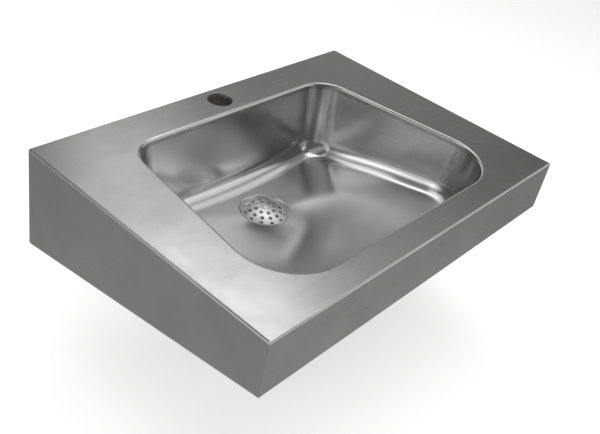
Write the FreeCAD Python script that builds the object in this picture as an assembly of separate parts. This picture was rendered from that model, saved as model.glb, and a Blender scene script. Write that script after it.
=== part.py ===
"""Wall-hung hand wash sink in stainless steel sheet, with its waste fitting.

Frame: X runs along the wall, Y points into the wall, whose face is y = 0, and Z is up.
The origin is the middle of the four wall fixing holes, half way down the back.
All lengths are millimetres and all angles are degrees until they are converted.
"""
import FreeCAD, Part
import math
import os

Vector = FreeCAD.Vector
UP = Vector(0, 0, 1)

# ------------------------------------------------------------------ driving dimensions
# Shell: the deck with its apron, and the two tapered side panels
overall_width = 600.0
overall_depth = 420.0
back_height = 150.0
front_height = 80.0
sheet = 1.5
fold_radius = 3.0             # outside radius of every fold
back_flange_height = 40.0     # deck sheet folded down against the wall
apron_return = 15.0           # deck sheet folded back under the apron
side_rear_return = 32.0       # side panel folded in along the wall
side_bottom_return = 14.0     # side panel folded in under its sloping edge
corner_relief = 1.0           # gap between two folded flanges that meet in a corner
seam_chamfer = 0.4            # each half of the groove along a butt seam

# Bowl: a drawn trapezoid, wider at the front, measured where its rolled rim leaves the deck
rear_margin = 60.0            # deck left behind the bowl
front_margin = 36.0           # deck left in front of the bowl
rear_side_margin = 104.0      # deck left beside the bowl's rear edge
front_side_margin = 60.0      # deck left beside the bowl's front edge
bowl_rear_corner = 50.0
bowl_front_corner = 80.0
rim_radius = 5.0
collar_depth = 9.0            # the deck's turned-down collar, where the bowl is welded on
bowl_wall = 1.2
bowl_depth = 127.0            # from the deck down to the rim of the waste
wall_draft = math.radians(6.5)
floor_fall = math.radians(10.0)
floor_fillet = 30.0
fillet_steps = 5              # flat bands down the fillet
roll_steps = 4                # flat bands down the rolled rim

# Tap hole and its backing plate
tap_hole_radius = 19.0
tap_from_back = 30.0
stiffener_thickness = 3.0
stiffener_width = 90.0
stiffener_margin = 6.0        # plate left between the tap hole and the plate's long edges
stiffener_corner = 6.0

# Waste fitting, all about one upright axis
waste_from_back = 149.0
waste_rim_width = 3.85        # ring that shows round the strainer
waste_rim_height = 0.9        # upright edge of the rim, above its cone
waste_rim_chamfer = 0.5
waste_rim_land = 0.7          # level top of the rim
recess_clearance = 0.6        # between the waste's rim and the bowl's recess
recess_depth = 7.5
recess_slope = math.radians(50.0)
recess_roll = 2.5
tail_radius = 23.9
tail_wall = 3.9
tail_length = 62.0            # below the rim
tail_chamfer = 1.0
hole_clearance = 0.7          # between the tail and the hole in the bowl
thread_clearance = 0.1        # between the tail and the nut on it
groove_depth = 0.8
groove_width = 3.0
top_seal_thickness = 1.5
under_washer_thickness = 3.0
slip_washer_thickness = 1.5
washer_width = 11.1           # beyond the tail
backnut_thickness = 10.0
backnut_wall = 7.1            # from the tail to the nut's flats
bridge_drop = 16.0            # top of the cross bridge below the rim
bridge_height = 6.0
bridge_arm_width = 4.0
bridge_arm_root = 1.5         # how far each arm runs into the tail's wall
bridge_arms = 3
bridge_first_arm = 90.0
boss_radius = 6.0
ledge_width = 3.0             # ring that the strainer's edge rests on
ledge_clearance = 0.5         # round the strainer's edge
throat_drop = 4.0             # cone from the ledge down to the bore

# Strainer plate and its screw
strainer_radius = 32.5
strainer_edge_drop = 2.6      # edge of the plate below the waste's rim
strainer_sag = 8.4            # height of the dome over its edge
strainer_thickness = 1.0
strainer_hole_radius = 3.0
strainer_rings = [(8, 18.4, 20.0), (12, 9.2, 5.0), (12, 1.3, 5.5)]   # count, in from the edge, first angle
screw_radius = 3.0
screw_running_clearance = 0.08
screw_head_radius = 5.6
screw_head_height = 1.7
screw_slot_width = 1.4
screw_slot_depth = 0.9
screw_slot_turn = 35.0
screw_below_bridge = 2.0

# Wall fixing
fixing_from_side = 20.0
fixing_from_edge = 30.0       # from the top and from the bottom of the back
fixing_hole_radius = 4.5
bracket_thickness = 3.0
bracket_side_leg = 35.0
bracket_rear_leg = 27.0
bracket_beyond_hole = 15.0

# Sound pads under the bowl
pad_thickness = 2.5
front_pad_length = 150.0
front_pad_width = 60.0
front_pad_from_waste = 125.0
side_pad_length = 100.0
side_pad_width = 50.0
side_pad_from_waste = 95.0

# Earth bonding tag on the back flange
earth_from_middle = 190.0
earth_width = 20.0
earth_leg = 20.0              # level leg that takes the screw
earth_height = 15.0           # upright leg on the flange
earth_above_edge = 5.0        # above the flange's lower edge
earth_hole_from_back = 12.0
earth_thickness = 1.5
earth_screw_radius = 3.0
earth_screw_clearance = 0.2
earth_screw_length = 14.0
hex_across_flats = 10.0
hex_height = 4.0

# ------------------------------------------------------------------ sizes that follow
past = 5.0                    # how far a cutting form runs beyond what it cuts
half_width = overall_width / 2
deck_top = back_height / 2
fixing_spacing_z = back_height - 2 * fixing_from_edge
bowl_front_edge = overall_depth - front_margin
bowl_rear_half_width = half_width - rear_side_margin
bowl_front_half_width = half_width - front_side_margin
deck_under = deck_top - sheet
inner_fold = fold_radius - sheet
seam_x = half_width - fold_radius
apron_half_width = half_width - sheet
splay = math.atan((rear_side_margin - front_side_margin) / (bowl_front_edge - rear_margin))
roll_inset = rim_radius * math.tan((math.pi / 2 - wall_draft) / 2)
rear_wall_corner = bowl_rear_corner - roll_inset
front_wall_corner = bowl_front_corner - roll_inset
waste_y = -waste_from_back
waste_rim_z = deck_top - bowl_depth
waste_rim_radius = strainer_radius + waste_rim_width
recess_rim_radius = waste_rim_radius + recess_clearance
recess_floor_z = waste_rim_z - recess_depth
top_seal_radius = recess_rim_radius - recess_depth / math.tan(recess_slope)
tail_bore_radius = tail_radius - tail_wall
washer_radius = tail_radius + washer_width
backnut_across_flats = 2 * (tail_radius + backnut_wall)
bowl_under_z = recess_floor_z - bowl_wall
slip_washer_z = bowl_under_z - under_washer_thickness
backnut_low_z = slip_washer_z - slip_washer_thickness - backnut_thickness
tail_low_z = waste_rim_z - tail_length
strainer_edge_z = waste_rim_z - strainer_edge_drop
strainer_top_z = strainer_edge_z + strainer_sag
bridge_top_z = waste_rim_z - bridge_drop
bridge_low_z = bridge_top_z - bridge_height
screw_bore = screw_radius + screw_running_clearance
tap_y = -tap_from_back
earth_y = -sheet - earth_hole_from_back
earth_low_z = deck_top - back_flange_height + earth_above_edge


# ------------------------------------------------------------------ general helpers
def box(low, high):
    """Block between two corners."""
    size = [high[i] - low[i] for i in range(3)]
    return Part.makeBox(size[0], size[1], size[2], Vector(*low))


def mirrored(shape):
    """The same piece on the other side of the sink."""
    return shape.mirror(Vector(0, 0, 0), Vector(1, 0, 0))


def rounded_corners(points, radii):
    """Start, middle and end of the arc that rounds each corner of a closed outline."""
    arcs = []
    for i, corner in enumerate(points):
        back = (points[i - 1] - corner).normalize()
        ahead = (points[(i + 1) % len(points)] - corner).normalize()
        half_angle = back.getAngle(ahead) / 2
        reach = radii[i] / math.tan(half_angle)
        inward = (back + ahead).normalize()
        middle = corner + inward * (radii[i] / math.sin(half_angle) - radii[i])
        arcs.append((corner + back * reach, middle, corner + ahead * reach))
    return arcs


def rounded_face(points, radii):
    """Flat face inside a closed outline whose corners are rounded; a radius of 0 stays sharp."""
    arcs = rounded_corners(points, radii)
    edges = []
    for i, (start, middle, end) in enumerate(arcs):
        if radii[i] > 0:
            edges.append(Part.Arc(start, middle, end).toShape())
        edges.append(Part.makeLine(end, arcs[(i + 1) % len(arcs)][0]))
    return Part.Face(Part.Wire(edges))


def turned(profile, axis_y=waste_y):
    """Solid of revolution about an upright axis, from (radius, height) points."""
    points = [Vector(radius, axis_y, height) for radius, height in profile]
    face = Part.Face(Part.makePolygon(points + [points[0]]))
    return face.revolve(Vector(0, axis_y, 0), UP, 360)


def disc(radius, low_z, high_z, axis_y=waste_y):
    """Upright cylinder between two heights."""
    return Part.makeCylinder(radius, high_z - low_z, Vector(0, axis_y, low_z), UP)


def hexagon(across_flats, low_z, high_z, centre_x, centre_y):
    """Hexagonal prism with the corners of both ends turned off, as on a nut."""
    corner_radius = across_flats / math.sqrt(3)
    corners = []
    for i in range(6):
        turn = math.radians(60 * i)
        corners.append(Vector(centre_x + corner_radius * math.cos(turn),
                              centre_y + corner_radius * math.sin(turn), low_z))
    prism = Part.Face(Part.makePolygon(corners + [corners[0]])).extrude(UP * (high_z - low_z))
    relief = corner_radius - across_flats / 2
    slope_height = relief * math.tan(math.radians(30))
    face_radius = across_flats / 2
    envelope = turned([(0, low_z), (face_radius, low_z), (corner_radius, low_z + slope_height),
                       (corner_radius, high_z - slope_height), (face_radius, high_z), (0, high_z)], centre_y)
    envelope.translate(Vector(centre_x, 0, 0))
    return prism.common(envelope)


# ------------------------------------------------------------------ the bowl's form
def plan_outline(rear, side_rear, side_front, front, rear_corner, front_corner):
    """Corner arcs of the bowl in plan, each wall moved in from the rim by its own inset."""
    rear_y = -(rear_margin + rear)
    front_y = -(bowl_front_edge - front)

    def half(y, inset):
        return bowl_rear_half_width - (y + rear_margin) * math.tan(splay) - inset / math.cos(splay)

    rear_x = half(rear_y, side_rear)
    front_x = half(front_y, side_front)
    corners = [Vector(rear_x, rear_y, 0), Vector(-rear_x, rear_y, 0),
               Vector(-front_x, front_y, 0), Vector(front_x, front_y, 0)]
    return rounded_corners(corners, [rear_corner, rear_corner, front_corner, front_corner])


def lifted_wire(arcs, height_at):
    """Closed wire of four corner arcs and four sides, each point lifted to height_at(x, y)."""
    edges = []
    for i, (start, middle, end) in enumerate(arcs):
        following = arcs[(i + 1) % 4][0]
        side = following - end
        share = (Vector(0, waste_y, 0) - end).dot(side) / side.dot(side)
        nearest = end + side * min(max(share, 0.25), 0.75)
        for first, second, third in ((start, middle, end), (end, nearest, following)):
            points = [Vector(p.x, p.y, height_at(p.x, p.y)) for p in (first, second, third)]
            bend = (points[1] - points[0]).cross(points[2] - points[1]).Length
            if bend < 1e-3 * (points[2] - points[0]).Length:
                edges.append(Part.makeLine(points[0], points[2]))
            else:
                edges.append(Part.Arc(*points).toShape())
    return Part.Wire(edges)


def level_wire(inset, height, corner_change=0.0):
    """Level outline of the bowl, the same inset all round."""
    arcs = plan_outline(inset, inset, inset, inset,
                        bowl_rear_corner - corner_change, bowl_front_corner - corner_change)
    return lifted_wire(arcs, lambda x, y: height)


def from_waste(x, y):
    """Distance in plan from the waste's axis."""
    return math.hypot(x, y - waste_y)


def floor_height(distance):
    """Height of the bowl's floor, a shallow cone that falls to the waste's rim."""
    return waste_rim_z + (distance - recess_rim_radius) * math.tan(floor_fall)


def rolled_rim(grow):
    """Outlines down the rolled rim; grow moves the surface out, through the sheet."""
    outlines = []
    for step in range(roll_steps + 1):
        turn = (math.pi / 2 - wall_draft) * step / roll_steps
        radius = rim_radius - grow
        inset = radius * math.sin(turn)
        outlines.append(level_wire(inset, deck_top - rim_radius + radius * math.cos(turn), inset))
    return outlines


def wall_wire(depth, grow):
    """Level outline of the drafted wall at a depth below the deck."""
    inset = roll_inset + depth * math.tan(wall_draft) - grow / math.cos(wall_draft)
    return level_wire(inset, deck_top - depth, roll_inset - grow)


def ball_inset(x, y):
    """How far inside the rim the fillet's rolling ball runs where its path passes (x, y)."""
    ball_z = floor_height(from_waste(x, y)) + floor_fillet / math.cos(floor_fall)
    return roll_inset + (deck_top - ball_z) * math.tan(wall_draft) + floor_fillet / math.cos(wall_draft)


def floor_fillet_wires(grow):
    """Outlines down the fillet between wall and floor, swept by a rolling ball."""
    nominal = roll_inset + bowl_depth * math.tan(wall_draft) / 2 + floor_fillet
    rear_x = bowl_rear_half_width - nominal
    front_x = bowl_front_half_width - nominal
    rear = ball_inset(0, -rear_margin - nominal)
    side_rear = ball_inset(rear_x, -rear_margin - nominal)
    side_front = ball_inset(front_x, -bowl_front_edge + nominal)
    front = ball_inset(0, -bowl_front_edge + nominal)
    radius = floor_fillet + grow
    outlines = []
    for step in range(fillet_steps + 1):
        turn = wall_draft + (math.pi / 2 - floor_fall - wall_draft) * step / fillet_steps
        out = radius * math.cos(turn)
        arcs = plan_outline(rear - out, side_rear - out, side_front - out, front - out,
                            rear_wall_corner - floor_fillet + out, front_wall_corner - floor_fillet + out)
        lift = floor_fillet / math.cos(floor_fall) - radius * math.sin(turn)
        outlines.append(lifted_wire(arcs, lambda x, y: floor_height(from_waste(x, y) - out) + lift))
    return outlines


def recess_wires(grow):
    """Circles down the waste's recess, each split where the floor's outline turns."""
    roll_centre_r = recess_rim_radius + recess_roll * math.sin(recess_slope)
    roll_centre_z = floor_height(roll_centre_r) - recess_roll / math.cos(floor_fall)
    radius = recess_roll - grow
    profile = []
    for slope in (floor_fall, (floor_fall + recess_slope) / 2, recess_slope):
        profile.append((roll_centre_r - radius * math.sin(slope), roll_centre_z + radius * math.cos(slope)))
    wall_r, wall_z = profile[-1]
    bottom_z = recess_floor_z - grow
    profile.append((wall_r - (wall_z - bottom_z) / math.tan(recess_slope), bottom_z))
    turns = floor_turns(grow)
    circles = []
    for ring_radius, ring_z in profile:
        edges = []
        for first, second in zip(turns, turns[1:] + [turns[0] + 2 * math.pi]):
            points = []
            for turn in (first, (first + second) / 2, second):
                x = ring_radius * math.cos(turn)
                y = waste_y + ring_radius * math.sin(turn)
                points.append(Vector(x, y, ring_z))
            edges.append(Part.Arc(*points).toShape())
        circles.append(Part.Wire(edges))
    return circles


def floor_turns(grow):
    """Directions from the waste to the eight corners of the floor's outline, in rising order."""
    turns = []
    for edge in floor_fillet_wires(grow)[-1].OrderedEdges:
        start = edge.valueAt(edge.FirstParameter)
        turn = math.atan2(start.y - waste_y, start.x)
        while turns and turn < turns[-1]:
            turn += 2 * math.pi
        turns.append(turn)
    return turns


def bowl_form(grow):
    """Solid that fills the bowl from the collar down to the recess, grown outwards by grow."""
    outlines = [wall_wire(collar_depth, grow)] + floor_fillet_wires(grow) + recess_wires(grow)
    return Part.makeLoft(outlines, True, True)


# ------------------------------------------------------------------ sheet metal shell
def folded_deck():
    """Deck sheet in one piece: back flange, deck, apron and the apron's return."""
    back_low = deck_top - back_flange_height
    front_low = deck_top - front_height
    front_y = -overall_depth
    return_y = front_y + apron_return
    outer = [(0, back_low), (0, deck_top), (front_y, deck_top), (front_y, front_low), (return_y, front_low)]
    inner = [(return_y, front_low + sheet), (front_y + sheet, front_low + sheet),
             (front_y + sheet, deck_under), (-sheet, deck_under), (-sheet, back_low)]
    points = [Vector(-apron_half_width, y, z) for y, z in outer + inner]
    radii = [0, fold_radius, fold_radius, fold_radius, 0, 0, inner_fold, inner_fold, inner_fold, 0]
    return rounded_face(points, radii).extrude(Vector(2 * apron_half_width, 0, 0))


def deck_side_trim():
    """What is cut from the deck's left edge: room for the side panel's folded top and rear edges."""
    fold_end_y = -overall_depth + fold_radius
    strip = box((-half_width, fold_end_y, deck_under - past), (-seam_x, past, deck_top + past))
    flange_x = -half_width + side_rear_return + corner_relief
    corner = box((-half_width, -fold_radius, -deck_top), (flange_x, past, deck_under))
    groove_points = [Vector(-seam_x - past, fold_end_y, deck_top + past),
                     Vector(-seam_x + seam_chamfer + past, fold_end_y, deck_top + past),
                     Vector(-seam_x - past, fold_end_y, deck_top - seam_chamfer - past)]
    groove = Part.Face(Part.makePolygon(groove_points + [groove_points[0]]))
    return [strip, corner, groove.extrude(Vector(0, -fold_end_y + past, 0))]


def deck_panel():
    sheet_metal = folded_deck()
    for tool in deck_side_trim():
        sheet_metal = sheet_metal.cut(tool).cut(mirrored(tool))
    collar_low = wall_wire(collar_depth, sheet)
    collar_form = Part.makeLoft([level_wire(0, deck_top)] + rolled_rim(sheet) + [collar_low], True, True)
    opening = Part.makeLoft(rolled_rim(0) + [wall_wire(collar_depth, 0)], True, True)
    tap_hole = disc(tap_hole_radius, deck_under - past, deck_top + past, tap_y)
    return sheet_metal.fuse(collar_form).cut(opening).cut(tap_hole).removeSplitter()


def side_profile(margin, front_past, x):
    """Side panel's outline at x, moved in by margin, with its front edge front_past beyond the apron."""
    bottom_slope = (back_height - front_height) / overall_depth
    slope_margin = margin * math.hypot(1, bottom_slope)
    front_y = -overall_depth - front_past

    def bottom(y):
        return deck_top - back_height - y * bottom_slope + slope_margin

    return [Vector(x, -margin, deck_top - margin), Vector(x, front_y, deck_top - margin),
            Vector(x, front_y, bottom(front_y)), Vector(x, -margin, bottom(-margin))]


def tray(points, depth, radius):
    """Prism whose edges round the outline and along its rear, top and bottom are rounded on the outside."""
    prism = Part.Face(Part.makePolygon(points + [points[0]])).extrude(Vector(depth, 0, 0))
    low_x = points[0].x
    front_y = points[1].y
    edges = []
    for edge in prism.Edges:
        middle = edge.CenterOfMass
        along_x = abs(edge.tangentAt(edge.FirstParameter).x) > 0.5
        at_front = abs(middle.y - front_y) < 0.01
        if not at_front and (along_x or abs(middle.x - low_x) < 0.01):
            edges.append(edge)
    return prism.makeFillet(radius, edges)


def left_side_panel():
    """Tapered side panel: folded in at the top, along the wall and under its sloping edge."""
    outer = tray(side_profile(0, 0, -half_width), side_rear_return, fold_radius)
    inner = tray(side_profile(sheet, past, -half_width + sheet), side_rear_return, inner_fold)
    panel = outer.cut(inner)
    front_y = -overall_depth
    low_z = deck_top - back_height
    under_deck = box((-seam_x, front_y - past, deck_under), (0, past, deck_top + past))
    top_strip = box((-half_width + sheet, front_y - past, deck_under - inner_fold),
                    (0, front_y + fold_radius, deck_top + past))
    bottom_trim = box((-half_width + side_bottom_return, front_y - past, low_z - past),
                      (0, -fold_radius, deck_under - inner_fold))
    bottom_relief = box((-half_width + sheet, front_y - past, low_z - past),
                        (0, front_y + apron_return + corner_relief, deck_under - inner_fold))
    for tool in (under_deck, top_strip, bottom_trim, bottom_relief):
        panel = panel.cut(tool)
    panel = panel.common(front_rounding())
    for z in (-fixing_spacing_z / 2, fixing_spacing_z / 2):
        panel = panel.cut(fixing_hole(-half_width + fixing_from_side, z))
    return panel


def front_rounding():
    """Block with the side panel's front corners rounded to follow the apron's folds."""
    top_rear, top_front, low_front, low_rear = side_profile(0, 0, -overall_width)
    top_rear.y = past
    low_rear += Vector(0, past, -past)
    corners = [top_rear, top_front, low_front, low_rear]
    return rounded_face(corners, [0, fold_radius, fold_radius, 0]).extrude(Vector(overall_width, 0, 0))


def fixing_hole(x, z):
    """Hole for a wall bolt, through everything near the wall."""
    reach = sheet + bracket_thickness + past
    return Part.makeCylinder(fixing_hole_radius, 2 * reach, Vector(x, -reach, z), Vector(0, 1, 0))


def left_wall_bracket():
    """Angle in the rear corner, against the side panel and against its rear return."""
    x0 = -half_width + sheet
    y0 = -sheet
    t = bracket_thickness
    half_length = fixing_spacing_z / 2 + bracket_beyond_hole
    corners = [(0, 0), (0, -bracket_side_leg), (t, -bracket_side_leg),
               (t, -t), (bracket_rear_leg, -t), (bracket_rear_leg, 0)]
    points = [Vector(x0 + x, y0 + y, -half_length) for x, y in corners]
    bend_outer = inner_fold + t
    bracket = rounded_face(points, [bend_outer, 0, 0, inner_fold, 0, 0]).extrude(UP * (2 * half_length))
    for z in (-fixing_spacing_z / 2, fixing_spacing_z / 2):
        bracket = bracket.cut(fixing_hole(-half_width + fixing_from_side, z))
    return bracket


def tap_hole_stiffener():
    """Plate under the deck that spreads the tap's load."""
    half_length = stiffener_width / 2
    reach = tap_hole_radius + stiffener_margin
    low_z = deck_under - stiffener_thickness
    corners = [Vector(-half_length, tap_y - reach, low_z), Vector(half_length, tap_y - reach, low_z),
               Vector(half_length, tap_y + reach, low_z), Vector(-half_length, tap_y + reach, low_z)]
    plate = rounded_face(corners, [stiffener_corner] * 4).extrude(UP * stiffener_thickness)
    return plate.cut(disc(tap_hole_radius, low_z - past, deck_top, tap_y))


# ------------------------------------------------------------------ bowl and its sound pads
def bowl():
    hole = disc(tail_radius + hole_clearance, bowl_under_z - past, waste_rim_z)
    return bowl_form(bowl_wall).cut(bowl_form(0)).cut(hole)


def sound_pad(centre_x, centre_y, size_x, size_y):
    """Flat pad stuck under the bowl's floor, cut from the layer just below it."""
    layer = bowl_form(bowl_wall + pad_thickness).cut(bowl_form(bowl_wall))
    footprint = box((centre_x - size_x / 2, centre_y - size_y / 2, tail_low_z),
                    (centre_x + size_x / 2, centre_y + size_y / 2, deck_top))
    return layer.common(footprint)


# ------------------------------------------------------------------ waste fitting
def waste_flange():
    """Dished flange with its threaded tail, and the cross bridge that takes the strainer's screw."""
    rim = waste_rim_z
    ledge_z = strainer_edge_z - strainer_thickness
    seal_z = recess_floor_z + top_seal_thickness
    rim_run = (rim - waste_rim_height - seal_z) / math.tan(recess_slope)
    groove_z = backnut_low_z - groove_width
    profile = [
        (tail_bore_radius, tail_low_z), (tail_radius - tail_chamfer, tail_low_z),
        (tail_radius, tail_low_z + tail_chamfer), (tail_radius, groove_z),
        (tail_radius - groove_depth, groove_z), (tail_radius - groove_depth, backnut_low_z),
        (tail_radius, backnut_low_z), (tail_radius, seal_z), (waste_rim_radius - rim_run, seal_z),
        (waste_rim_radius, rim - waste_rim_height), (waste_rim_radius, rim - waste_rim_chamfer),
        (waste_rim_radius - waste_rim_chamfer, rim),
        (waste_rim_radius - waste_rim_chamfer - waste_rim_land, rim),
        (strainer_radius + ledge_clearance, ledge_z), (strainer_radius - ledge_width, ledge_z),
        (tail_bore_radius, ledge_z - throat_drop)]
    body = turned(profile)
    arms = disc(boss_radius, bridge_low_z, bridge_top_z)
    for i in range(bridge_arms):
        arm = box((0, waste_y - bridge_arm_width / 2, bridge_low_z),
                  (tail_bore_radius + bridge_arm_root, waste_y + bridge_arm_width / 2, bridge_top_z))
        arm.rotate(Vector(0, waste_y, 0), UP, bridge_first_arm + i * 360 / bridge_arms)
        arms = arms.fuse(arm)
    return body.fuse(arms).cut(disc(screw_bore, bridge_low_z - past, bridge_top_z + past)).removeSplitter()


def waste_top_seal():
    low = recess_floor_z
    high = low + top_seal_thickness
    return disc(top_seal_radius, low, high).cut(disc(tail_radius + thread_clearance, low, high))


def waste_ring(high_z, thickness):
    """Washer on the tail, its top face at high_z."""
    low_z = high_z - thickness
    return disc(washer_radius, low_z, high_z).cut(disc(tail_radius + hole_clearance, low_z, high_z))


def waste_backnut():
    high_z = backnut_low_z + backnut_thickness
    nut = hexagon(backnut_across_flats, backnut_low_z, high_z, 0, waste_y)
    return nut.cut(disc(tail_radius + thread_clearance, backnut_low_z, high_z))


def strainer_dome():
    """Domed plate with two rings of holes, a ring of open notches and the screw's hole."""
    top_radius = (strainer_radius ** 2 + strainer_sag ** 2) / (2 * strainer_sag)
    under_radius = top_radius - strainer_thickness
    centre_z = strainer_top_z - top_radius

    def on_dome(radius, across):
        return Vector(across, waste_y, centre_z + math.sqrt(radius ** 2 - across ** 2))

    edge_lean = strainer_radius / top_radius
    under_edge = strainer_radius - strainer_thickness * edge_lean
    top_arc = Part.Arc(on_dome(top_radius, 0), on_dome(top_radius, strainer_radius / 2),
                       on_dome(top_radius, strainer_radius)).toShape()
    under_arc = Part.Arc(on_dome(under_radius, under_edge), on_dome(under_radius, under_edge / 2),
                         on_dome(under_radius, 0)).toShape()
    edge = Part.makeLine(on_dome(top_radius, strainer_radius), on_dome(under_radius, under_edge))
    axis = Part.makeLine(on_dome(under_radius, 0), on_dome(top_radius, 0))
    plate = Part.Face(Part.Wire([top_arc, edge, under_arc, axis])).revolve(Vector(0, waste_y, 0), UP, 360)
    dome_centre = Vector(0, waste_y, centre_z)
    holes = [disc(screw_bore, strainer_top_z - past, strainer_top_z + past)]
    for count, from_edge, first_angle in strainer_rings:
        ring_radius = strainer_radius - from_edge
        for i in range(count):
            turn = math.radians(first_angle + i * 360 / count)
            rise = math.sqrt(top_radius ** 2 - ring_radius ** 2)
            direction = Vector(ring_radius * math.cos(turn), ring_radius * math.sin(turn), rise)
            start = dome_centre + direction * (1 - 3 * strainer_thickness / top_radius)
            holes.append(Part.makeCylinder(strainer_hole_radius, 5 * strainer_thickness, start, direction))
    return plate.cut(Part.makeCompound(holes))


def strainer_screw():
    """Slotted screw that holds the strainer down on the bridge."""
    head_low = strainer_top_z
    head_top = head_low + screw_head_height
    dome_radius = (screw_head_radius ** 2 + screw_head_height ** 2) / (2 * screw_head_height)
    crown = Part.makeSphere(dome_radius, Vector(0, waste_y, head_top - dome_radius))
    head = disc(screw_head_radius, head_low, head_top).common(crown)
    slot = box((-screw_head_radius, waste_y - screw_slot_width / 2, head_top - screw_slot_depth),
               (screw_head_radius, waste_y + screw_slot_width / 2, head_top + past))
    slot.rotate(Vector(0, waste_y, 0), UP, screw_slot_turn)
    shank = disc(screw_radius, bridge_low_z - screw_below_bridge, head_low + screw_head_height / 3)
    return head.cut(slot).fuse(shank).removeSplitter()


# ------------------------------------------------------------------ earth bonding point
def earth_tag():
    """Small angle on the back flange; its level leg takes the earth screw."""
    low_z = earth_low_z
    high_z = low_z + earth_height
    t = earth_thickness
    x0 = earth_from_middle - earth_width / 2
    y0 = -sheet
    corners = [(0, high_z), (0, low_z), (-earth_leg, low_z),
               (-earth_leg, low_z + t), (-t, low_z + t), (-t, high_z)]
    points = [Vector(x0, y0 + y, z) for y, z in corners]
    tag = rounded_face(points, [0, 2 * t, 0, 0, t, 0]).extrude(Vector(earth_width, 0, 0))
    return tag.cut(earth_rod(earth_screw_radius + earth_screw_clearance, low_z - past, low_z + past))


def earth_rod(radius, low_z, high_z):
    """Upright cylinder on the earth screw's axis."""
    return Part.makeCylinder(radius, high_z - low_z, Vector(earth_from_middle, earth_y, low_z), UP)


def earth_screw():
    leg_top = earth_low_z + earth_thickness
    head = hexagon(hex_across_flats, leg_top, leg_top + hex_height, earth_from_middle, earth_y)
    shank = earth_rod(earth_screw_radius, leg_top - earth_screw_length, leg_top + hex_height / 2)
    return head.fuse(shank).removeSplitter()


def earth_nut():
    low_z = earth_low_z - hex_height
    nut = hexagon(hex_across_flats, low_z, earth_low_z, earth_from_middle, earth_y)
    return nut.cut(earth_rod(earth_screw_radius + thread_clearance, low_z, earth_low_z))


# ------------------------------------------------------------------ every piece by name
left_panel = left_side_panel()
left_bracket = left_wall_bracket()
left_pad = sound_pad(-side_pad_from_waste, waste_y, side_pad_width, side_pad_length)

pieces = {
    "deck_panel": deck_panel(),
    "left_side_panel": left_panel,
    "right_side_panel": mirrored(left_panel),
    "bowl": bowl(),
    "tap_hole_stiffener": tap_hole_stiffener(),
    "left_wall_bracket": left_bracket,
    "right_wall_bracket": mirrored(left_bracket),
    "sound_pad_front": sound_pad(0, waste_y - front_pad_from_waste, front_pad_length, front_pad_width),
    "sound_pad_left": left_pad,
    "sound_pad_right": mirrored(left_pad),
    "waste_flange": waste_flange(),
    "waste_top_seal": waste_top_seal(),
    "waste_under_washer": waste_ring(bowl_under_z, under_washer_thickness),
    "waste_slip_washer": waste_ring(slip_washer_z, slip_washer_thickness),
    "waste_backnut": waste_backnut(),
    "strainer_dome": strainer_dome(),
    "strainer_screw": strainer_screw(),
    "earth_tag": earth_tag(),
    "earth_screw": earth_screw(),
    "earth_nut": earth_nut(),
}

os.makedirs("parts", exist_ok=True)
for node, shape in pieces.items():
    shape.exportStep("parts/" + node + ".step")
    print(node, "solids", len(shape.Solids), "valid", shape.isValid(), "volume", round(shape.Volume, 1))
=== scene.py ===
# %% [markdown]
# # A wall-hung hand wash sink in stainless steel
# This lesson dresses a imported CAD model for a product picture. The CAD model gives every
# size and every moving body. Blender adds smooth drawn metal, brushed and polished
# finishes, and a soft studio.

# %% Load the frame
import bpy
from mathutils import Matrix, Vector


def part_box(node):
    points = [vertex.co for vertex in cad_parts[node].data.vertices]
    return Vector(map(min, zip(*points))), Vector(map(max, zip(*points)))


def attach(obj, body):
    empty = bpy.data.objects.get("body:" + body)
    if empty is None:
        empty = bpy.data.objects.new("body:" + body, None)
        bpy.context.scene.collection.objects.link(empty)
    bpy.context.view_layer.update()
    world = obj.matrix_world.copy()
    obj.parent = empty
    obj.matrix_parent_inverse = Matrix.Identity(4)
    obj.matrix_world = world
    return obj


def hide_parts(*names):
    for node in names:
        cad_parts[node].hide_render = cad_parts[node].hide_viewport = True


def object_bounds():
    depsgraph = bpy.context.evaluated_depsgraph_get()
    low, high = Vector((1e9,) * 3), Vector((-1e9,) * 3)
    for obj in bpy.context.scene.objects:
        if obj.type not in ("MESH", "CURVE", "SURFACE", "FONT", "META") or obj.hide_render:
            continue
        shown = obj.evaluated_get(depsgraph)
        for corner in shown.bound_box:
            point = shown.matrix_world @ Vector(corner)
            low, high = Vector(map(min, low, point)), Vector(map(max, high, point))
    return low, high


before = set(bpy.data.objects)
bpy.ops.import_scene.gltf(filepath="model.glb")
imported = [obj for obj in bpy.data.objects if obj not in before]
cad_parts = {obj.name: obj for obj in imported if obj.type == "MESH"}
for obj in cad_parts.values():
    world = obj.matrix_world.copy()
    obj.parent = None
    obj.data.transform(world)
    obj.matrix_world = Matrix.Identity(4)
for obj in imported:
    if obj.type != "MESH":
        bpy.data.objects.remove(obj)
cad_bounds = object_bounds()

# %% Tools and units
import math

import bmesh
import bpy
from mathutils import Matrix, Vector

mm = 0.001
print("one millimetre is", mm, "of Blender's metres")

# %% [markdown]
# ## Sizes
# A sink is set out from its deck: its width, its depth and the height of its top. These
# could be typed in again, but the frame holds them already, as the boxes of its nodes, and
# a size that is read can't drift away from the CAD. Slopes and radii, which no box can
# tell, are named as numbers in the cell that first needs them.

# %% Sizes read from the frame
deck_low, deck_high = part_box("deck_panel")
side_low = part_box("left_side_panel")[0]
flange_low, flange_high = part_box("waste_flange")
deck_top = deck_high.z
front_y = deck_low.y
half_width = -side_low.x
waste_y = (flange_low.y + flange_high.y) / 2
waste_rim_z = flange_high.z
waste_rim_radius = (flange_high.x - flange_low.x) / 2
print("deck top", round(deck_top, 4), "half width", round(half_width, 4))
print("waste rim", round(waste_rim_z, 4), "radius", round(waste_rim_radius, 4))

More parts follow.
